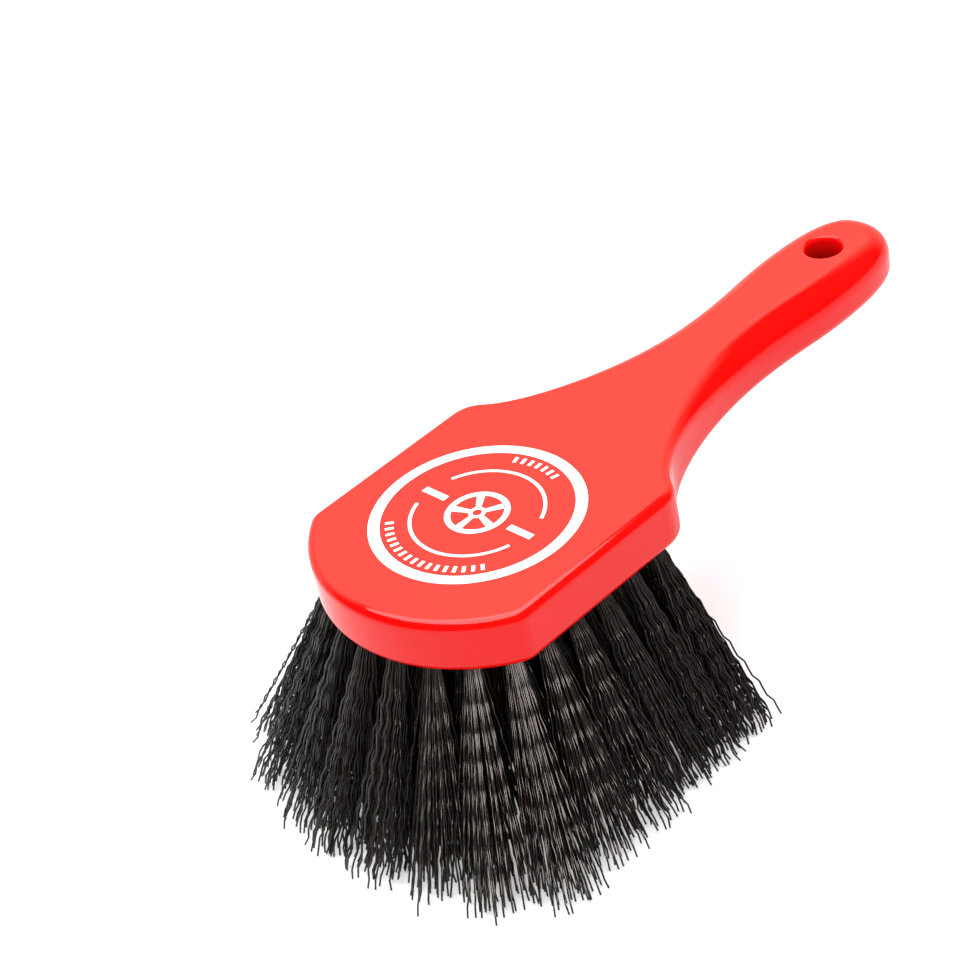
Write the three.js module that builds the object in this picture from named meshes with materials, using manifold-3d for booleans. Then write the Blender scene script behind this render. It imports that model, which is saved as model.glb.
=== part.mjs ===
// Hand-held wheel and carpet brush: one lacquered wooden block that is head and handle in one,
// with tufts of crimped filament set in holes that are drilled into its underside at fanned angles.
// Millimetres, +Z up, +X along the handle, mirrored about the XZ plane.
// The origin is on the trimmed tips of the bristles, under the centre of the head's front arc.
import * as THREE from "three";
import { LoftGeometry } from "three/addons/geometries/LoftGeometry.js";
import { mergeVertices } from "three/addons/utils/BufferGeometryUtils.js";
import Module from "manifold-3d";

// Heights.
const BRISTLE_HEIGHT = 56.7; // underside of the block above the trimmed tips
const BLOCK_THICKNESS = 16.3;

// Head, seen from above.
const FRONT_X = -45.8;
const FRONT_RADIUS = 48.35;
const HEAD_HALF_WIDTH = 40.1;
const HEAD_BACK_X = 35.35; // where the side and the flank would meet with no rounding
const FRONT_CORNER_RADIUS = 6.9;
const BACK_CORNER_RADIUS = 10.7;

// Handle, seen from above.
const FLANK_ANGLE = THREE.MathUtils.degToRad(55.4); // turn from the side to the flank
const NECK_X = 103.5;
const NECK_HALF_WIDTH = 14.1;
const GRIP_X = 138.6; // widest point of the grip
const GRIP_HALF_WIDTH = 16;
const END_X = 170.5;

// Edges, rounded less round the head than along the handle.
const HEAD_TOP_EDGE = 2.6;
const HEAD_BOTTOM_EDGE = 3.2;
const HANDLE_TOP_EDGE = 8.2;
const HANDLE_BOTTOM_EDGE = 4.4;
const EDGE_RUN_OUT = 62; // length over which one rounding turns into the other

// Hole to hang the brush by.
const HANG_HOLE_X = 148.4;
const HANG_HOLE_RADIUS = 5.6;
const HANG_HOLE_RIM = 1.2; // rounding of its two rims

// Drilled holes, tufts and the flat wire staple that holds each folded tuft down.
const HOLE_RADIUS = 2.4;
const HOLE_DEPTH = 11.5;
const DRILL_POINT = THREE.MathUtils.degToRad(59); // half the angle of the drill's point
const CLEARANCE = 0.3; // between a tuft and its hole, a staple and its slot, and two tufts
const FOLD_LENGTH = 1.2; // rounded end where the filaments fold round the staple
const STAPLE_BITE = 1.1; // how far each end of the staple reaches into the wood
const STAPLE_WIDTH = 1.7;
const STAPLE_THICKNESS = 0.5;
const TUFT_FLARE = 7.2; // largest radius of a spread tuft at its tips

// Where the tufts stand: rings that follow the head's edge, and a last pair on the centre line.
const RINGS = [
  { name: "rim", inset: 5.6, count: 24 },
  { name: "middle", inset: 16.1, count: 16 },
  { name: "inner", inset: 26.6, count: 10 },
];
const FIELD_BACK_X = 33; // outermost ring's straight back run
const RING_CORNER_RADIUS = 4;
const CORE_X = [-9.5, 1.5];

// The holes lean as if drilled towards one focus above the head, less steeply at the back.
const FAN_FOCUS = 99;
const FAN_FOCUS_BACK = 480;

const SIDES = 10; // sides of a hole and of a tuft, with a flat one at each end of the staple
const EDGE_STEPS = 5;
const OUTLINE_STEPS = 9; // on each curve of the block's outline, and twice as many on an arc
const OUTLINE_SPACING = 0.8; // least distance between two points of the outline

const wasm = await Module();
wasm.setup();

const lacquer = new THREE.MeshStandardMaterial({
  color: 0xf01410,
  roughness: 0.18,
  metalness: 0,
});
const filament = new THREE.MeshStandardMaterial({
  color: 0x171415,
  roughness: 0.45,
  metalness: 0,
});

// A three.js geometry as a solid that can be joined and cut.
function solid(geometry) {
  const bare = new THREE.BufferGeometry();
  bare.setAttribute("position", geometry.getAttribute("position"));
  bare.setIndex(geometry.getIndex());
  const merged = mergeVertices(bare, 1e-4);
  return new wasm.Manifold(
    new wasm.Mesh({
      numProp: 3,
      vertProperties: new Float32Array(merged.attributes.position.array),
      triVerts: new Uint32Array(merged.index.array),
    }),
  );
}

function geometryOf(made) {
  const mesh = made.getMesh();
  const geometry = new THREE.BufferGeometry();
  geometry.setAttribute("position", new THREE.BufferAttribute(mesh.vertProperties, 3));
  geometry.setIndex(new THREE.BufferAttribute(mesh.triVerts, 1));
  geometry.computeVertexNormals();
  return geometry;
}

// Front arc and rounded front corner of the head, set in from its edge, on the +Y side.
function frontOf(path, inset, cornerRadius) {
  const centreX = FRONT_X + FRONT_RADIUS;
  const radius = FRONT_RADIUS - inset;
  const halfWidth = HEAD_HALF_WIDTH - inset;
  const cornerY = halfWidth - cornerRadius;
  const turn = Math.asin(cornerY / (radius - cornerRadius));
  const cornerX = centreX - (radius - cornerRadius) * Math.cos(turn);
  path.absarc(centreX, 0, radius, Math.PI, Math.PI - turn, true);
  path.absarc(cornerX, cornerY, cornerRadius, Math.PI - turn, Math.PI / 2, true);
  return path;
}

// Half of the block's outline, from the middle of the front to the end of the handle.
function blockHalfOutline() {
  const path = frontOf(new THREE.Path(), 0, FRONT_CORNER_RADIUS);
  const tangent = BACK_CORNER_RADIUS * Math.tan(FLANK_ANGLE / 2);
  const cornerX = HEAD_BACK_X - tangent;
  const cornerY = HEAD_HALF_WIDTH - BACK_CORNER_RADIUS;
  path.lineTo(cornerX, HEAD_HALF_WIDTH);
  path.absarc(cornerX, cornerY, BACK_CORNER_RADIUS, Math.PI / 2, Math.PI / 2 - FLANK_ANGLE, true);

  const start = path.currentPoint.clone();
  const flank = NECK_X - start.x;
  const reach = 0.11 * flank;
  path.bezierCurveTo(
    start.x + reach,
    start.y - reach * Math.tan(FLANK_ANGLE),
    NECK_X - 0.5 * flank,
    NECK_HALF_WIDTH,
    NECK_X,
    NECK_HALF_WIDTH,
  );
  const swell = 0.45 * (GRIP_X - NECK_X);
  path.bezierCurveTo(
    NECK_X + swell,
    NECK_HALF_WIDTH,
    GRIP_X - swell,
    GRIP_HALF_WIDTH,
    GRIP_X,
    GRIP_HALF_WIDTH,
  );
  path.bezierCurveTo(
    GRIP_X + 0.66 * (END_X - GRIP_X),
    GRIP_HALF_WIDTH,
    END_X,
    0.73 * GRIP_HALF_WIDTH,
    END_X,
    0,
  );
  return path;
}

// Outline points with their outward normals, anticlockwise seen from above.
function blockOutline() {
  const half = [];
  for (const p of blockHalfOutline().getPoints(OUTLINE_STEPS)) {
    if (half.length === 0 || p.distanceTo(half.at(-1)) > OUTLINE_SPACING) half.push(p);
  }
  const mirrored = half.slice(1, -1).map((p) => new THREE.Vector2(p.x, -p.y));
  const points = [...mirrored, ...half.reverse()];
  return points.map((point, i) => {
    const before = points.at(i - 1);
    const after = points[(i + 1) % points.length];
    const along = after.clone().sub(before).normalize();
    return { point, normal: new THREE.Vector2(along.y, -along.x) };
  });
}

// Edge rounding at a place along the brush.
function edgeRadius(x, head, handle) {
  const share = THREE.MathUtils.smoothstep(x, HEAD_BACK_X, HEAD_BACK_X + EDGE_RUN_OUT);
  return THREE.MathUtils.lerp(head, handle, share);
}

// The block as a stack of sections: up through the lower rounding, the side and the upper one.
function blockBlank() {
  const outline = blockOutline();
  const level = (step, head, handle, edgeZ, up) =>
    outline.map(({ point, normal }) => {
      const radius = edgeRadius(point.x, head, handle);
      const angle = (step / EDGE_STEPS) * (Math.PI / 2);
      const inset = radius * (1 - Math.cos(angle));
      return new THREE.Vector3(
        point.x - normal.x * inset,
        point.y - normal.y * inset,
        edgeZ - up * radius * (1 - Math.sin(angle)),
      );
    });
  const steps = Array.from({ length: EDGE_STEPS + 1 }, (_, i) => i);
  const top = BRISTLE_HEIGHT + BLOCK_THICKNESS;
  const lower = steps.map((s) => level(s, HEAD_BOTTOM_EDGE, HANDLE_BOTTOM_EDGE, BRISTLE_HEIGHT, -1));
  const upper = steps.map((s) => level(s, HEAD_TOP_EDGE, HANDLE_TOP_EDGE, top, 1));
  return new LoftGeometry([...lower.reverse(), ...upper], { capStart: true, capEnd: true });
}

// Cutter for the hang hole, with both of its rims rounded.
function hangHoleCutter() {
  const rim = HANG_HOLE_RADIUS + HANG_HOLE_RIM;
  const roundedRim = (z, up) =>
    [0, 1, 2, 3].map((i) => {
      const angle = (i / 3) * (Math.PI / 2);
      return new THREE.Vector2(
        rim - HANG_HOLE_RIM * Math.sin(angle),
        z - up * HANG_HOLE_RIM * (1 - Math.cos(angle)),
      );
    });
  const profile = [
    new THREE.Vector2(0, -1),
    new THREE.Vector2(rim, -1),
    ...roundedRim(0, -1),
    ...roundedRim(BLOCK_THICKNESS, 1).reverse(),
    new THREE.Vector2(rim, BLOCK_THICKNESS + 1),
    new THREE.Vector2(0, BLOCK_THICKNESS + 1),
  ];
  const cutter = new THREE.LatheGeometry(profile, 32);
  cutter.rotateX(Math.PI / 2);
  cutter.translate(HANG_HOLE_X, 0, BRISTLE_HEIGHT);
  return cutter;
}

// A closed ring of holes, set in from the edge of the head, from its front back to its front.
function ringPath(inset) {
  const halfWidth = HEAD_HALF_WIDTH - inset;
  const backX = FIELD_BACK_X - (inset - RINGS[0].inset);
  const path = frontOf(new THREE.Path(), inset, RING_CORNER_RADIUS);
  const cornerX = backX - RING_CORNER_RADIUS;
  path.absarc(cornerX, halfWidth - RING_CORNER_RADIUS, RING_CORNER_RADIUS, Math.PI / 2, 0, true);
  path.lineTo(backX, 0);
  return path;
}

// Centres of one ring's holes, evenly spaced and mirrored about the centre line.
function ringHoles(inset, count) {
  const half = ringPath(inset)
    .getSpacedPoints(count)
    .filter((_, i) => i % 2 === 1);
  return [...half, ...half.map((p) => new THREE.Vector2(p.x, -p.y)).reverse()];
}

// Every tuft's name, its place on the underside, and the place of its tips' centre.
function tuftPlaces() {
  const places = RINGS.flatMap(({ name, inset, count }) =>
    ringHoles(inset, count).map((p, i) => ({
      name: `tuft_${name}_${String(i + 1).padStart(2, "0")}`,
      root: new THREE.Vector3(p.x, p.y, BRISTLE_HEIGHT),
    })),
  );
  CORE_X.forEach((x, i) =>
    places.push({
      name: `tuft_core_${String(i + 1).padStart(2, "0")}`,
      root: new THREE.Vector3(x, 0, BRISTLE_HEIGHT),
    }),
  );
  for (const place of places) {
    const { x, y } = place.root;
    const spreadX = BRISTLE_HEIGHT / (x < 0 ? FAN_FOCUS : FAN_FOCUS_BACK);
    const spreadY = BRISTLE_HEIGHT / FAN_FOCUS;
    place.tip = new THREE.Vector3(x * (1 + spreadX), y * (1 + spreadY), 0);
    place.up = place.root.clone().sub(place.tip).normalize();
  }
  return places;
}

// Radius of each tuft's spread tips, so that neighbours just stay apart.
function flareOf(place, places) {
  const nearest = Math.min(
    ...places.filter((p) => p !== place).map((p) => p.tip.distanceTo(place.tip)),
  );
  return Math.min(TUFT_FLARE, (nearest - CLEARANCE) / 2);
}

// Turns a piece made round +Z at the origin into a hole's own direction, at its mouth.
function placed(geometry, { root, up }) {
  const turn = new THREE.Quaternion().setFromUnitVectors(new THREE.Vector3(0, 0, 1), up);
  geometry.applyQuaternion(turn);
  geometry.translate(root.x, root.y, root.z);
  return geometry;
}

// Cutter for one blind hole with a drill point, running out past the underside.
function holeCutter(place) {
  const point = HOLE_RADIUS / Math.tan(DRILL_POINT);
  const profile = [
    new THREE.Vector2(0, -HOLE_RADIUS),
    new THREE.Vector2(HOLE_RADIUS, -HOLE_RADIUS),
    new THREE.Vector2(HOLE_RADIUS, HOLE_DEPTH),
    new THREE.Vector2(0, HOLE_DEPTH + point),
  ];
  const cutter = new THREE.LatheGeometry(profile, SIDES);
  cutter.rotateX(Math.PI / 2);
  return placed(cutter, place);
}

// The staple across the bottom of a hole, or with a margin the slot that it bites into the wood.
function staple(place, margin) {
  const bar = new THREE.BoxGeometry(
    2 * (HOLE_RADIUS + STAPLE_BITE + margin),
    STAPLE_THICKNESS + 2 * margin,
    STAPLE_WIDTH + 2 * margin,
  );
  bar.translate(0, 0, HOLE_DEPTH - FOLD_LENGTH - STAPLE_WIDTH / 2);
  return placed(bar, place);
}

// A circle of points round a centre, across a direction.
function circle(centre, radius, up) {
  const turn = new THREE.Quaternion().setFromUnitVectors(new THREE.Vector3(0, 0, 1), up);
  return Array.from({ length: SIDES }, (_, i) => {
    const angle = ((i + 0.5) / SIDES) * 2 * Math.PI;
    return new THREE.Vector3(radius * Math.cos(angle), radius * Math.sin(angle), 0)
      .applyQuaternion(turn)
      .add(centre);
  });
}

// One tuft: spread and trimmed flat at its tips, gathered in its hole, folded over its staple.
function tuft(place, flare) {
  const vertical = new THREE.Vector3(0, 0, 1);
  const gathered = HOLE_RADIUS - CLEARANCE;
  const inHole = (depth) => place.root.clone().addScaledVector(place.up, depth);
  const bundle = new LoftGeometry(
    [
      circle(place.tip, flare, vertical),
      circle(place.root, gathered, vertical),
      circle(inHole(HOLE_DEPTH - FOLD_LENGTH), gathered, place.up),
      circle(inHole(HOLE_DEPTH - CLEARANCE), gathered / 2, place.up),
    ],
    { capStart: true, capEnd: true },
  );
  return geometryOf(solid(bundle).add(solid(staple(place, 0))));
}

function block(places) {
  let made = solid(blockBlank()).subtract(solid(hangHoleCutter()));
  for (const place of places) {
    made = made.subtract(solid(holeCutter(place)));
    made = made.subtract(solid(staple(place, CLEARANCE)));
  }
  return geometryOf(made);
}

function named(name, geometry, material) {
  const mesh = new THREE.Mesh(geometry, material);
  mesh.name = name;
  return mesh;
}

const brush = new THREE.Group();
const places = tuftPlaces();
brush.add(named("block", block(places), lacquer));
for (const place of places) {
  brush.add(named(place.name, tuft(place, flareOf(place, places)), filament));
}

export default brush;
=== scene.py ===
import math
import random

import bmesh
import bpy
from mathutils import Matrix, Vector
from mathutils.geometry import interpolate_bezier


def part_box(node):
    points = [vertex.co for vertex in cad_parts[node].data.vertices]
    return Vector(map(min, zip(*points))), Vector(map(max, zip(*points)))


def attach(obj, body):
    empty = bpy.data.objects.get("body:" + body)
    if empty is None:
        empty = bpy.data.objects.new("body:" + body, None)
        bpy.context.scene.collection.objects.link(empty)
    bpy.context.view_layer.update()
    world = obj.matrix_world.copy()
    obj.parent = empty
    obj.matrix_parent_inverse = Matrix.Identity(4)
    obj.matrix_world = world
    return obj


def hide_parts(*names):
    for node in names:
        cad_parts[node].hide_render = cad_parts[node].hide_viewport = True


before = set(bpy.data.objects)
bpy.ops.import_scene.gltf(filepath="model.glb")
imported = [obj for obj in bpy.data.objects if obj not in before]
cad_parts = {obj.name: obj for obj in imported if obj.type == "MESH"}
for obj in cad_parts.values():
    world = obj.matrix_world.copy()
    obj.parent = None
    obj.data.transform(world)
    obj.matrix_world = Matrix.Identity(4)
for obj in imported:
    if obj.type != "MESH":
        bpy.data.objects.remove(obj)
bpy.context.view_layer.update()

# Studio. The brush stands on its bristle tips on a pale floor that glows faintly, under one large
# square softbox. A long warm light beside the camera reaches only the bristles, and the gloss
# mirrors a white backdrop on the far side.
mm = 0.001
MIDDLE = Vector((33 * mm, 35 * mm, 45 * mm))
BACKDROP = Vector((0.62, 0.78, 0))
FLOOR_HALF_WIDTH = 6


def put_in_scene(name, data):
    made = bpy.data.objects.new(name, data)
    bpy.context.scene.collection.objects.link(made)
    return made


def mesh_from(bm, name, *materials):
    """Turns a finished bmesh into a mesh with its materials, and frees it."""
    mesh = bpy.data.meshes.new(name)
    bm.to_mesh(mesh)
    bm.free()
    for material in materials:
        mesh.materials.append(material)
    return mesh


camera_data = bpy.data.cameras.new("camera")
camera_data.lens = 89.27
camera_data.sensor_width = 36
camera_data.clip_start = 0.01
camera_data.clip_end = 20
camera = put_in_scene("camera", camera_data)
camera.location = (-0.31865, -0.41132, 0.45232)
camera.rotation_euler = (math.radians(53.687), math.radians(10.264), math.radians(-45.733))
bpy.context.scene.camera = camera
bpy.context.scene.view_settings.view_transform = "Standard"

softbox_data = bpy.data.lights.new("softbox", "AREA")
softbox_data.shape = "SQUARE"
softbox_data.size = 0.7
softbox_data.energy = 8
softbox = put_in_scene("softbox", softbox_data)
softbox.location = (0.05, 0.15, 0.7)
softbox.visible_camera = False

side_light_data = bpy.data.lights.new("side_light", "AREA")
side_light_data.shape = "RECTANGLE"
side_light_data.size = 0.8
side_light_data.size_y = 0.3
side_light_data.energy = 13
side_light_data.color = (1, 0.9, 0.84)
side_light = put_in_scene("side_light", side_light_data)
side_light.location = (-0.3, -0.66, 0.38)
side_light.rotation_euler = (side_light.location - MIDDLE).to_track_quat("Z", "Y").to_euler()
side_light.visible_camera = False
lit_pieces = bpy.data.collections.new("lit_by_side_light")
side_light.light_linking.receiver_collection = lit_pieces


def set_input(tree, socket, value):
    if isinstance(value, bpy.types.NodeSocket):
        tree.links.new(value, socket)
    else:
        socket.default_value = value


def node(tree, kind, **inputs):
    """A shader node, with values or links put on its inputs by name."""
    made = tree.nodes.new(kind)
    for name, value in inputs.items():
        set_input(tree, made.inputs[name.replace("_", " ")], value)
    return made


def worked_out(tree, kind, operation, *values):
    """A maths node, with values or links put on its inputs in order."""
    made = node(tree, kind)
    made.operation = operation
    for socket, value in zip(made.inputs, values):
        set_input(tree, socket, value)
    return made


def mixed_colour(tree, share, colour_1, colour_2):
    mix = node(tree, "ShaderNodeMix")
    mix.data_type = "RGBA"
    set_input(tree, mix.inputs["Factor"], share)
    # The mix node's colour sockets come after those for its numbers and vectors.
    set_input(tree, mix.inputs[6], colour_1)
    set_input(tree, mix.inputs[7], colour_2)
    return mix.outputs[2]


world = bpy.data.worlds.new("studio")
world.use_nodes = True
sky = world.node_tree
sky.nodes.clear()
direction = node(sky, "ShaderNodeTexCoord").outputs["Generated"]
facing = worked_out(sky, "ShaderNodeVectorMath", "DOT_PRODUCT", direction, BACKDROP)
height = node(sky, "ShaderNodeSeparateXYZ", Vector=direction).outputs["Z"]
# The backdrop is white between its two sides, dimmer low down, and dark over its top edge.
across = node(sky, "ShaderNodeMapRange", Value=facing.outputs["Value"], From_Min=0.3, From_Max=0.6)
up = node(sky, "ShaderNodeMapRange", Value=height, From_Min=0.78, From_Max=0.70)
rise = node(
    sky, "ShaderNodeMapRange", Value=height, From_Min=0.45, From_Max=0.62,
    To_Min=0.55, To_Max=up.outputs["Result"],
)
lit = worked_out(
    sky, "ShaderNodeMath", "MULTIPLY", across.outputs["Result"], rise.outputs["Result"]
)
# Gloss mirrors the backdrop, and all else is lit by an even dome and seen against plain white.
ray = node(sky, "ShaderNodeLightPath").outputs
mirrored = node(sky, "ShaderNodeMapRange", Value=lit.outputs["Value"], To_Min=0.02, To_Max=1.95)
unseen = node(
    sky, "ShaderNodeMapRange", Value=ray["Is Glossy Ray"], To_Min=0.8, To_Max=mirrored.outputs["Result"]
)
strength = node(
    sky, "ShaderNodeMapRange", Value=ray["Is Camera Ray"], To_Min=unseen.outputs["Result"], To_Max=1
)
warmth = mixed_colour(sky, ray["Is Glossy Ray"], (1, 1, 1, 1), (1, 0.95, 0.74, 1))
background = node(sky, "ShaderNodeBackground", Color=warmth, Strength=strength.outputs["Result"])
node(sky, "ShaderNodeOutputWorld", Surface=background.outputs["Background"])
bpy.context.scene.world = world

panel = bpy.data.materials.new("lit_floor_panel")
panel.use_nodes = True
acrylic = panel.node_tree.nodes["Principled BSDF"]
acrylic.inputs["Base Color"].default_value = (0.6, 0.6, 0.6, 1)
acrylic.inputs["Roughness"].default_value = 0.9
acrylic.inputs["Emission Color"].default_value = (1, 1, 1, 1)
ray = node(panel.node_tree, "ShaderNodeLightPath").outputs
lift = node(panel.node_tree, "ShaderNodeMapRange", Value=ray["Is Camera Ray"], To_Min=0.1, To_Max=0.42)
set_input(panel.node_tree, acrylic.inputs["Emission Strength"], lift.outputs["Result"])
bm = bmesh.new()
bmesh.ops.create_grid(bm, x_segments=1, y_segments=1, size=FLOOR_HALF_WIDTH)
floor = put_in_scene("floor", mesh_from(bm, "floor", panel))

# Block. Head and handle are routed from one piece of close-grained wood, with a small rounding
# round the head that runs out at its back corners into the larger one of the handle. It is
# drilled for the hang hole, dipped in thick red gloss lacquer, and drilled for the tufts.
block_low, block_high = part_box("block")
FRONT_RADIUS = 48.35 * mm
FRONT_CORNER = 6.9 * mm
BACK_CORNER = 10.7 * mm
HEAD_BACK = 35.35 * mm
FLANK_ANGLE = math.radians(55.4)
NECK = Vector((103.5 * mm, 14.1 * mm, 0))
GRIP = Vector((138.6 * mm, 16 * mm, 0))
# How far the handle's curves run on from their ends, as shares of the length between them.
FLANK_PULL = 0.11
NECK_PULL = 0.5
GRIP_PULL = 0.45
TAIL_PULL = 0.66
TAIL_FULLNESS = 0.73
SIDE_STEPS = 16
HEAD_EDGE = {"top": 2.6 * mm, "bottom": 3.2 * mm}
HANDLE_EDGE = {"top": 8.2 * mm, "bottom": 4.4 * mm}
EDGE_RUN_OUT = 62 * mm
HANG_HOLE = Vector((148.4 * mm, 0, 0))
HANG_HOLE_RADIUS = 5.6 * mm
HANG_HOLE_RIM = 1.2 * mm
CUT_PAST = 1 * mm
HOLE_RADIUS = 2.4 * mm
HOLE_DEPTH = 11.5 * mm
DRILL_POINT = math.radians(59)
LACQUER = ((0.92, 0.002, 0.0015, 1), (0.98, 0.004, 0.003, 1))
# Painted shade for the hang hole's wall: its dark red, and the depths where it starts and where it is
# full.
HANG_HOLE_PAINTED_SHADE = (0.16, 0.0004, 0.0003, 1)
SHADE_TOP = 1 * mm
SHADE_BOTTOM = 9 * mm
AXIS_X, AXIS_Y, AXIS_Z = Vector((1, 0, 0)), Vector((0, 1, 0)), Vector((0, 0, 1))
SAME_LEVEL = 0.01 * mm
TOUCHING = 0.001 * mm


def apply_modifiers(piece):
    graph = bpy.context.evaluated_depsgraph_get()
    piece.data = bpy.data.meshes.new_from_object(piece.evaluated_get(graph), depsgraph=graph)
    piece.modifiers.clear()


def turn_about(bm, vert, centre, axis, angle, steps):
    """Draws an arc from a vertex about a centre, and returns its last vertex."""
    spun = bmesh.ops.spin(
        bm, geom=[vert], cent=centre, axis=axis, angle=angle, steps=steps, space=Matrix()
    )
    return next(v for v in spun["geom_last"] if isinstance(v, bmesh.types.BMVert))


def run_to(bm, vert, point):
    """Draws an edge from a vertex to a point, and returns its new vertex."""
    end = bmesh.ops.extrude_vert_indiv(bm, verts=[vert])["verts"][0]
    end.co = point
    return end


def turned(bm, steps):
    """Spins a profile that stands on the Z axis into a closed solid."""
    bmesh.ops.spin(
        bm, geom=bm.verts[:] + bm.edges[:], cent=(0, 0, 0), axis=AXIS_Z, angle=math.tau,
        steps=steps, use_merge=True, space=Matrix(),
    )
    bmesh.ops.remove_doubles(bm, verts=bm.verts, dist=TOUCHING)
    bmesh.ops.recalc_face_normals(bm, faces=bm.faces)


def thicken(bm, faces, height):
    """Raises level faces into closed solids."""
    raised = bmesh.ops.extrude_face_region(bm, geom=faces, use_keep_orig=True)["geom"]
    raised = [v for v in raised if isinstance(v, bmesh.types.BMVert)]
    bmesh.ops.translate(bm, verts=raised, vec=height * AXIS_Z)
    bmesh.ops.recalc_face_normals(bm, faces=bm.faces)


def edge_radius(x, side):
    """The rounding of the block's top or bottom edge, which grows from the head to the handle."""
    share = min(1, max(0, (x - HEAD_BACK) / EDGE_RUN_OUT))
    share = share * share * (3 - 2 * share)
    return HEAD_EDGE[side] + (HANDLE_EDGE[side] - HEAD_EDGE[side]) * share


def end_ring(name, level):
    """Centre and radius of the level circle that a tuft's CAD solid has at a height."""
    ring = [v.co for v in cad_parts[name].data.vertices if abs(v.co.z - level) < SAME_LEVEL]
    low = Vector([min(co[i] for co in ring) for i in range(3)])
    high = Vector([max(co[i] for co in ring) for i in range(3)])
    return (low + high) / 2, (high.y - low.y) / 2


tufts = {}
for name in sorted(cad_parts):
    if name.startswith("tuft_"):
        root, gathered = end_ring(name, block_low.z)
        tip, flare = end_ring(name, 0)
        along = Matrix.Translation(root) @ AXIS_Z.rotation_difference(root - tip).to_matrix().to_4x4()
        tufts[name] = {"root": root, "tip": tip, "gathered": gathered, "flare": flare, "hole": along}


def in_every_hole(shape):
    """A bmesh with a copy of a mesh in the hole of each tuft."""
    bm = bmesh.new()
    for tuft in tufts.values():
        before = len(bm.verts)
        bm.from_mesh(shape)
        bm.verts.ensure_lookup_table()
        bmesh.ops.transform(bm, matrix=tuft["hole"], verts=bm.verts[before:])
    return bm


# One half of the outline: front arc, corner, straight side, back corner, flank, neck and grip.
bm = bmesh.new()
half_width = block_high.y
arc_centre = Vector((block_low.x + FRONT_RADIUS, 0, block_low.z))
corner_y = half_width - FRONT_CORNER
turn = math.asin(corner_y / (FRONT_RADIUS - FRONT_CORNER))
corner = arc_centre + Vector((-(FRONT_RADIUS - FRONT_CORNER) * math.cos(turn), corner_y, 0))
end = bm.verts.new((block_low.x, 0, block_low.z))
end = turn_about(bm, end, arc_centre, AXIS_Z, -turn, steps=36)
end = turn_about(bm, end, corner, AXIS_Z, turn - math.pi / 2, steps=9)
side_end = Vector((HEAD_BACK - BACK_CORNER * math.tan(FLANK_ANGLE / 2), half_width, block_low.z))
side_start = end.co.copy()
for step in range(1, SIDE_STEPS + 1):
    end = run_to(bm, end, side_start.lerp(side_end, step / SIDE_STEPS))
end = turn_about(bm, end, side_end - BACK_CORNER * AXIS_Y, AXIS_Z, -FLANK_ANGLE, steps=12)
flank = Vector((end.co.x, end.co.y, 0))
reach = FLANK_PULL * (NECK.x - flank.x)
swell = GRIP_PULL * (GRIP.x - NECK.x) * AXIS_X
tail = Vector((block_high.x, 0, 0))
sweeps = (
    (flank, flank + Vector((reach, -reach * math.tan(FLANK_ANGLE), 0)),
     NECK - NECK_PULL * (NECK.x - flank.x) * AXIS_X, NECK, 64),
    (NECK, NECK + swell, GRIP - swell, GRIP, 32),
    (GRIP, GRIP + TAIL_PULL * (tail.x - GRIP.x) * AXIS_X,
     tail + TAIL_FULLNESS * GRIP.y * AXIS_Y, tail, 44),
)
for knot_1, handle_1, handle_2, knot_2, count in sweeps:
    for point in interpolate_bezier(knot_1, handle_1, handle_2, knot_2, count)[1:]:
        end = run_to(bm, end, point + block_low.z * AXIS_Z)
bmesh.ops.mirror(bm, geom=bm.verts[:] + bm.edges[:], axis="Y", merge_dist=2 * SAME_LEVEL)
bmesh.ops.remove_doubles(bm, verts=bm.verts, dist=2 * SAME_LEVEL)
underside = bmesh.ops.contextual_create(bm, geom=bm.edges[:])["faces"]
thicken(bm, underside, block_high.z - block_low.z)
weight = bm.edges.layers.float.new("bevel_weight_edge")
for edge in bm.edges:
    first, last = (v.co for v in edge.verts)
    if abs(first.z - last.z) < SAME_LEVEL:
        side = "top" if first.z > (block_low.z + block_high.z) / 2 else "bottom"
        edge[weight] = edge_radius((first.x + last.x) / 2, side) / HANDLE_EDGE["top"]
block = put_in_scene("lacquered_block", mesh_from(bm, "lacquered_block"))

bm = bmesh.new()
wide = HANG_HOLE_RADIUS + HANG_HOLE_RIM
tall = block_high.z - block_low.z
end = run_to(bm, bm.verts.new((0, 0, -CUT_PAST)), Vector((wide, 0, -CUT_PAST)))
end = run_to(bm, end, Vector((wide, 0, 0)))
end = turn_about(bm, end, Vector((wide, 0, HANG_HOLE_RIM)), AXIS_Y, math.pi / 2, steps=8)
end = run_to(bm, end, Vector((HANG_HOLE_RADIUS, 0, tall - HANG_HOLE_RIM)))
end = turn_about(bm, end, Vector((wide, 0, tall - HANG_HOLE_RIM)), AXIS_Y, math.pi / 2, steps=8)
end = run_to(bm, end, Vector((wide, 0, tall + CUT_PAST)))
end = run_to(bm, end, Vector((0, 0, tall + CUT_PAST)))
turned(bm, steps=64)
bmesh.ops.translate(bm, verts=bm.verts, vec=HANG_HOLE + block_low.z * AXIS_Z)
hang_cutter = put_in_scene("hang_hole_cutter", mesh_from(bm, "hang_hole_cutter"))

bm = bmesh.new()
end = run_to(bm, bm.verts.new((0, 0, -HOLE_RADIUS)), Vector((HOLE_RADIUS, 0, -HOLE_RADIUS)))
end = run_to(bm, end, Vector((HOLE_RADIUS, 0, HOLE_DEPTH)))
end = run_to(bm, end, Vector((0, 0, HOLE_DEPTH + HOLE_RADIUS / math.tan(DRILL_POINT))))
turned(bm, steps=20)
drill_cutter = put_in_scene(
    "drill_cutter", mesh_from(in_every_hole(mesh_from(bm, "drill")), "drill_cutter")
)

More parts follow.
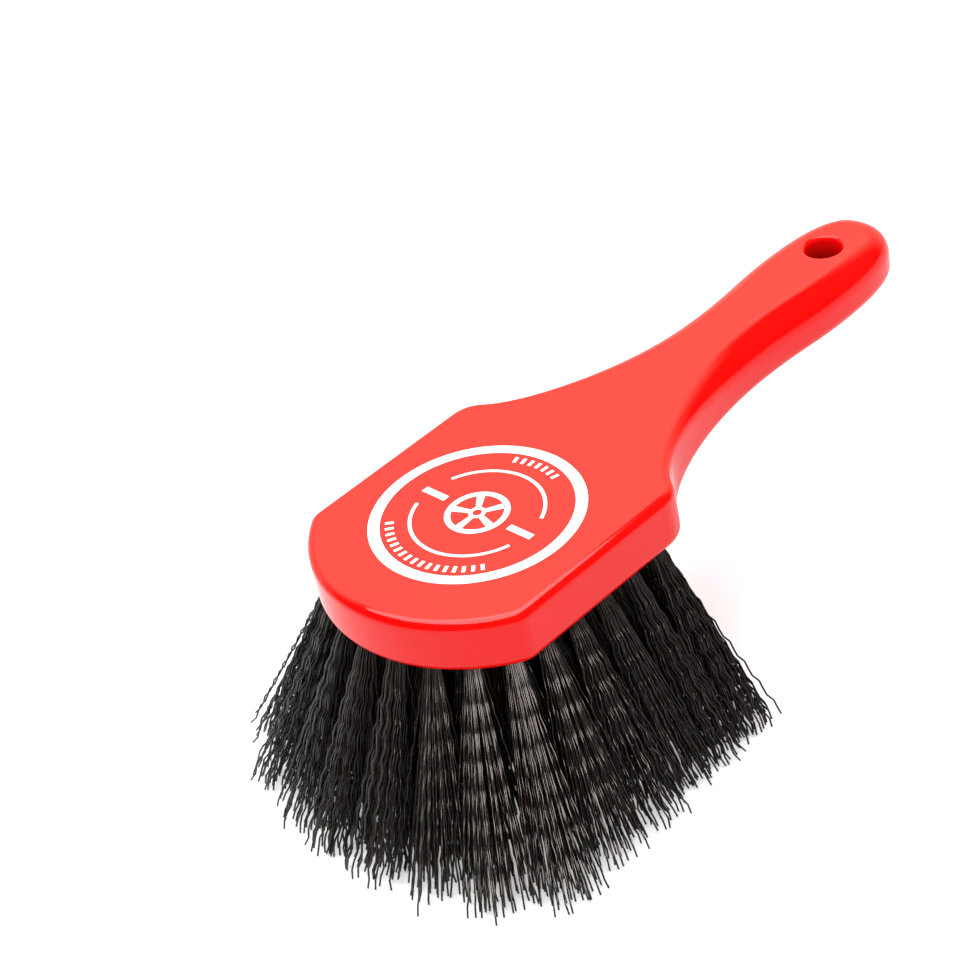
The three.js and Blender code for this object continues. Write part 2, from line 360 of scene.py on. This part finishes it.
rounding = block.modifiers.new("rounding", "BEVEL")
rounding.limit_method = "WEIGHT"
rounding.width = HANDLE_EDGE["top"]
rounding.segments = 12
rounding.profile = 0.5
rounding.use_clamp_overlap = False
for cutter in (hang_cutter, drill_cutter):
    cut = block.modifiers.new(cutter.name, "BOOLEAN")
    cut.operation = "DIFFERENCE"
    cut.solver = "EXACT"
    cut.object = cutter
apply_modifiers(block)
for cutter in (hang_cutter, drill_cutter):
    bpy.data.objects.remove(cutter)
block.data.shade_smooth()
block.data.set_sharp_from_angle(angle=math.radians(40))
flat_faces = block.modifiers.new("flat_faces", "WEIGHTED_NORMAL")
flat_faces.keep_sharp = True
apply_modifiers(block)

# An uneven value over a surface, used for gloss, tone and fine relief on every finish.
uneven = bpy.data.node_groups.new("uneven", "ShaderNodeTree")
for name, kind, default in (
    ("Vector", "NodeSocketVector", (0, 0, 0)), ("Scale", "NodeSocketFloat", 100),
    ("Low", "NodeSocketFloat", 0), ("High", "NodeSocketFloat", 1),
):
    uneven.interface.new_socket(name, in_out="INPUT", socket_type=kind).default_value = default
uneven.interface.new_socket("Value", in_out="OUTPUT", socket_type="NodeSocketFloat")
given = node(uneven, "NodeGroupInput").outputs
cloud = node(uneven, "ShaderNodeTexNoise", Vector=given["Vector"], Scale=given["Scale"], Detail=4)
spread = node(
    uneven, "ShaderNodeMapRange", Value=cloud.outputs["Fac"], From_Min=0.3, From_Max=0.7,
    To_Min=given["Low"], To_Max=given["High"],
)
node(uneven, "NodeGroupOutput", Value=spread.outputs["Result"])


def uneven_value(tree, vector, scale, low=0, high=1):
    placed = node(tree, "ShaderNodeGroup")
    placed.node_tree = uneven
    for name, value in (("Vector", vector), ("Scale", scale), ("Low", low), ("High", high)):
        set_input(tree, placed.inputs[name], value)
    return placed.outputs["Value"]


def new_finish(name):
    """A material, its node tree, its shader and the place on the piece that its patterns follow."""
    material = bpy.data.materials.new(name)
    material.use_nodes = True
    tree = material.node_tree
    place = node(tree, "ShaderNodeTexCoord").outputs["Object"]
    return material, tree, tree.nodes["Principled BSDF"], place


lacquer, tree, shader, place = new_finish("red_gloss_lacquer")
red = mixed_colour(tree, uneven_value(tree, place, scale=28), *LACQUER)
# Painted shade: the wall of the hang hole is painted a darker red towards its bottom, standing in for
# the shade inside the hole.
from_axis = worked_out(tree, "ShaderNodeVectorMath", "MULTIPLY_ADD", place, (1, 1, 0), -HANG_HOLE)
from_axis = worked_out(tree, "ShaderNodeVectorMath", "LENGTH", from_axis.outputs["Vector"])
on_wall = node(
    tree, "ShaderNodeMapRange", Value=from_axis.outputs["Value"],
    From_Min=HANG_HOLE_RADIUS + 0.4 * mm, From_Max=HANG_HOLE_RADIUS + 0.1 * mm,
)
level = node(tree, "ShaderNodeSeparateXYZ", Vector=place).outputs["Z"]
painted_shade = node(
    tree, "ShaderNodeMapRange", Value=level, From_Min=block_high.z - SHADE_TOP,
    From_Max=block_high.z - SHADE_BOTTOM, To_Max=on_wall.outputs["Result"],
)
red = mixed_colour(tree, painted_shade.outputs["Result"], red, HANG_HOLE_PAINTED_SHADE)
set_input(tree, shader.inputs["Base Color"], red)
set_input(tree, shader.inputs["Roughness"], uneven_value(tree, place, scale=60, low=0.05, high=0.1))
shader.inputs["IOR"].default_value = 1.42
lengthwise = node(tree, "ShaderNodeMapping", Vector=place, Scale=(0.05, 1, 1)).outputs["Vector"]
grain = uneven_value(tree, lengthwise, scale=420)
peel = uneven_value(tree, place, scale=600)
relief = worked_out(tree, "ShaderNodeMath", "ADD", grain, peel)
bump = node(tree, "ShaderNodeBump", Strength=1, Distance=0.002 * mm, Height=relief.outputs["Value"])
set_input(tree, shader.inputs["Normal"], bump.outputs["Normal"])
block.data.materials.clear()
block.data.materials.append(lacquer)
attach(block, "root")
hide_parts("block")

# Print. One pass of white ink on top of the head: a broad ring, two thin arcs, two rows of
# plain marks and a wheel sign between two bars, all a few hundredths of a millimetre thick.
INK = 0.04 * mm
INK_SUNK = 0.02 * mm
RING = (26.46 * mm, 29.72 * mm)
ARCS = (17.8 * mm, 18.8 * mm)
MARKS = (22.6 * mm, 25.0 * mm)
MARK_WIDTH = 1.0 * mm
MARK_ANGLES = (*range(-18, 19, 6), *range(132, 229, 6))
WHEEL_BANDS = ((7.3 * mm, 9.0 * mm), (1.3 * mm, 2.4 * mm))
SPOKE = (2.2 * mm, 7.5 * mm, 1.5 * mm, 2.3 * mm)
SPOKE_ANGLES = range(36, 360, 72)
BARS = (11.8 * mm, 20.2 * mm)
BAR_WIDTH = 2.2 * mm


def ring_band(bm, inner, outer, start, sweep, steps):
    """A flat band between two radii, from an angle through a sweep, in degrees."""
    radial = Matrix.Rotation(math.radians(start), 3, "Z") @ AXIS_X
    ends = [bm.verts.new(inner * radial), bm.verts.new(outer * radial)]
    edge = bm.edges.new(ends)
    bmesh.ops.spin(
        bm, geom=[*ends, edge], cent=(0, 0, 0), axis=AXIS_Z, angle=math.radians(sweep),
        steps=steps, use_merge=sweep == 360, space=Matrix(),
    )


def radial_bar(bm, inner, outer, inner_width, outer_width, angle):
    """A flat bar that points away from the centre at an angle, in degrees."""
    made = bmesh.ops.create_grid(bm, x_segments=1, y_segments=1, size=0.5)["verts"]
    for vert in made:
        width = inner_width if vert.co.x < 0 else outer_width
        vert.co = Vector((inner if vert.co.x < 0 else outer, vert.co.y * width, 0))
    bmesh.ops.rotate(bm, verts=made, cent=(0, 0, 0), matrix=Matrix.Rotation(math.radians(angle), 3, "Z"))


bm = bmesh.new()
ring_band(bm, *RING, start=0, sweep=360, steps=128)
ring_band(bm, *ARCS, start=-67, sweep=134, steps=56)
ring_band(bm, *ARCS, start=108, sweep=144, steps=60)
for angle in MARK_ANGLES:
    radial_bar(bm, *MARKS, MARK_WIDTH, MARK_WIDTH, angle)
for inner, outer in WHEEL_BANDS:
    ring_band(bm, inner, outer, start=0, sweep=360, steps=64)
for angle in SPOKE_ANGLES:
    radial_bar(bm, *SPOKE, angle)
for angle in (90, -90):
    radial_bar(bm, *BARS, BAR_WIDTH, BAR_WIDTH, angle)
thicken(bm, bm.faces[:], INK + INK_SUNK)
bmesh.ops.translate(bm, verts=bm.verts, vec=(block_high.z - INK_SUNK) * AXIS_Z)

ink, tree, shader, place = new_finish("white_print_ink")
white = mixed_colour(
    tree, uneven_value(tree, place, scale=900), (0.86, 0.85, 0.84, 1), (0.93, 0.93, 0.92, 1)
)
set_input(tree, shader.inputs["Base Color"], white)
set_input(tree, shader.inputs["Roughness"], uneven_value(tree, place, scale=300, low=0.25, high=0.4))
head_print = put_in_scene("head_print", mesh_from(bm, "head_print", ink))
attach(head_print, "root")

# Staples. A short piece of flat steel wire is driven across the bottom of each hole, over the
# fold of the tuft, and its two ends bite into the wood.
FOLD_LENGTH = 1.2 * mm
STAPLE_BITE = 1.1 * mm
STAPLE_WIDTH = 1.7 * mm
STAPLE_THICKNESS = 0.5 * mm
STAPLE_EDGE = 0.12 * mm
STAPLE_DEPTH = HOLE_DEPTH - FOLD_LENGTH - STAPLE_WIDTH / 2

bm = bmesh.new()
bmesh.ops.create_cube(bm, size=1)
staple_size = (2 * (HOLE_RADIUS + STAPLE_BITE), STAPLE_THICKNESS, STAPLE_WIDTH)
bmesh.ops.scale(bm, vec=staple_size, verts=bm.verts)
bmesh.ops.translate(bm, verts=bm.verts, vec=STAPLE_DEPTH * AXIS_Z)
bmesh.ops.bevel(
    bm, geom=bm.edges[:], offset=STAPLE_EDGE, segments=2, profile=0.5, affect="EDGES", material=-1
)
bm = in_every_hole(mesh_from(bm, "wire"))

steel, tree, shader, place = new_finish("drawn_steel_wire")
drawn = uneven_value(tree, place, scale=1500)
grey = mixed_colour(tree, drawn, (0.42, 0.42, 0.43, 1), (0.6, 0.6, 0.61, 1))
set_input(tree, shader.inputs["Base Color"], grey)
set_input(tree, shader.inputs["Roughness"], uneven_value(tree, place, scale=800, low=0.25, high=0.45))
shader.inputs["Metallic"].default_value = 1
staples = put_in_scene("tuft_staples", mesh_from(bm, "tuft_staples", steel))
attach(staples, "root")

# Tufts. Each is a bundle of crimped black polypropylene filaments, folded over its staple,
# gathered in its hole, spread towards the tips and trimmed flat, with a few that stray.
FILAMENTS = 82
FILAMENT_RADIUS = 0.32 * mm
CRIMP_LENGTH = 7.6 * mm
CRIMP_HEIGHT = 0.38 * mm
STEPS_PER_CRIMP = 3
FULL_CRIMP_FROM = 0.25
SPREAD_CURVE = 1.15
SPLAY = (1.1, 1.8)
STRAY_SHARE = 0.02
STRAY_SPLAY = (1.2, 1.5)
# Tufts that stand further forward and out than this are at the front corners, and reach further.
CORNER_TUFT = Vector((20 * mm, 24.5 * mm))
CORNER_REACH = 4.5 * mm
TIP_SCATTER = 0.8 * mm
TRIM_SCATTER = 0.8 * mm
TRIM_LOWEST = 0.3 * mm
BOW = 0.5 * mm
# How much the crimp varies: its start and length by shares of one crimp, its plane by radians.
PHASE_SCATTER = 0.05
LENGTH_SCATTER = 0.012
PLANE_SCATTER = 0.35
TUFT_PLANE_SCATTER = 0.7


def fold_points(tuft, gathered):
    """Points over the staple and down beside it, in the bottom of the hole."""
    side = math.copysign(max(abs(gathered.y), STAPLE_THICKNESS / 2 + FILAMENT_RADIUS), gathered.y)
    top = STAPLE_DEPTH + STAPLE_WIDTH / 2
    points = (
        Vector((gathered.x, 0, top + 2 * FILAMENT_RADIUS)),
        Vector((gathered.x, side, top)),
        Vector((gathered.x, side, STAPLE_DEPTH - STAPLE_WIDTH / 2)),
    )
    return [tuft["hole"] @ point for point in points]


def filament_path(tuft, index, wave_turn, wave_phase):
    """Points from the staple, out of the hole and down a crimped path to the tip."""
    share = math.sqrt((index + 0.5) / FILAMENTS)
    angle = index * math.pi * (3 - math.sqrt(5))
    place = Vector((math.cos(angle), math.sin(angle), 0))
    gathered = share * tuft["gathered"] * place
    points = fold_points(tuft, gathered)
    root = tuft["hole"] @ gathered
    trim = abs(random.gauss(0, TRIM_SCATTER)) + TRIM_LOWEST
    splay = share * tuft["flare"] * random.uniform(*SPLAY)
    if random.random() < STRAY_SHARE:
        splay *= random.uniform(*STRAY_SPLAY)
    outward = Vector((*tuft["root"].xy, 0)).normalized()
    tip = tuft["tip"] + splay * place
    if tuft["root"].x < -CORNER_TUFT.x and abs(tuft["root"].y) > CORNER_TUFT.y:
        tip += CORNER_REACH * outward
    tip += Vector((random.gauss(0, TIP_SCATTER), random.gauss(0, TIP_SCATTER), trim))
    length = (tip - root).length
    phase = wave_phase + random.gauss(0, PHASE_SCATTER)
    crimp_length = CRIMP_LENGTH * random.gauss(1, LENGTH_SCATTER)
    turn = wave_turn + random.gauss(0, PLANE_SCATTER)
    bow = Vector((random.gauss(0, BOW), random.gauss(0, BOW), 0))
    down = (tip - root).normalized()
    wave = Matrix.Rotation(turn, 3, down) @ (outward - down * outward.dot(down)).normalized()
    count = round(length / crimp_length * STEPS_PER_CRIMP)
    for step in range(count + 1):
        done = step / count
        spot = tuft["root"].lerp(tuft["tip"] + trim * AXIS_Z, done)
        spot += (root - tuft["root"]) * (1 - done ** SPREAD_CURVE)
        spot += (tip - tuft["tip"] - trim * AXIS_Z) * done ** SPREAD_CURVE
        spot += bow * math.sin(math.pi * done)
        swing = math.sin(math.tau * (done * length / crimp_length + phase))
        spot += CRIMP_HEIGHT * min(1, done / FULL_CRIMP_FROM) * swing * wave
        points.append(spot)
    return points


def shade_filaments(bm):
    """Gives each filament a tone of its own, which its material mixes its colour by."""
    shade = bm.verts.layers.float.new("shade")
    seen = set()
    for vert in bm.verts:
        if vert in seen:
            continue
        tone = random.random()
        seen.add(vert)
        reached = [vert]
        while reached:
            last = reached.pop()
            last[shade] = tone
            for edge in last.link_edges:
                other = edge.other_vert(last)
                if other not in seen:
                    seen.add(other)
                    reached.append(other)


filament, tree, shader, place = new_finish("black_polypropylene_filament")
own = node(tree, "ShaderNodeAttribute")
own.attribute_name = "shade"
black = mixed_colour(tree, own.outputs["Fac"], (0.002, 0.0015, 0.0013, 1), (0.010, 0.0075, 0.0065, 1))
set_input(tree, shader.inputs["Base Color"], black)
set_input(tree, shader.inputs["Roughness"], uneven_value(tree, place, scale=250, low=0.16, high=0.28))
shader.inputs["IOR"].default_value = 1.46

# The three-sided section that every filament is drawn out to.
bm = bmesh.new()
bmesh.ops.create_circle(bm, segments=3, radius=FILAMENT_RADIUS)
section_curve = bpy.data.curves.new("filament_section", "CURVE")
section_curve.dimensions = "3D"
line = section_curve.splines.new("POLY")
line.points.add(len(bm.verts) - 1)
for point, vert in zip(line.points, bm.verts):
    point.co = (*vert.co, 1)
line.use_cyclic_u = True
bm.free()
section = put_in_scene("filament_section", section_curve)

random.seed(11)
for name, tuft in tufts.items():
    curve = bpy.data.curves.new(name, "CURVE")
    curve.dimensions = "3D"
    curve.bevel_mode = "OBJECT"
    curve.bevel_object = section
    curve.use_fill_caps = True
    wave_turn = random.gauss(0, TUFT_PLANE_SCATTER)
    wave_phase = random.random()
    for index in range(FILAMENTS):
        points = filament_path(tuft, index, wave_turn, wave_phase)
        line = curve.splines.new("POLY")
        line.points.add(len(points) - 1)
        line.points.foreach_set("co", [value for spot in points for value in (*spot, 1)])
    bundle = put_in_scene(name, curve)
    graph = bpy.context.evaluated_depsgraph_get()
    bm = bmesh.new()
    bm.from_mesh(bundle.evaluated_get(graph).to_mesh())
    bpy.data.objects.remove(bundle)
    bmesh.ops.remove_doubles(bm, verts=bm.verts, dist=TOUCHING)
    bmesh.ops.recalc_face_normals(bm, faces=bm.faces)
    shade_filaments(bm)
    piece_name = name.replace("tuft", "bristles")
    piece = put_in_scene(piece_name, mesh_from(bm, piece_name, filament))
    piece.data.shade_smooth()
    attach(piece, "root")
    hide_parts(name)
    lit_pieces.objects.link(piece)
bpy.data.objects.remove(section)
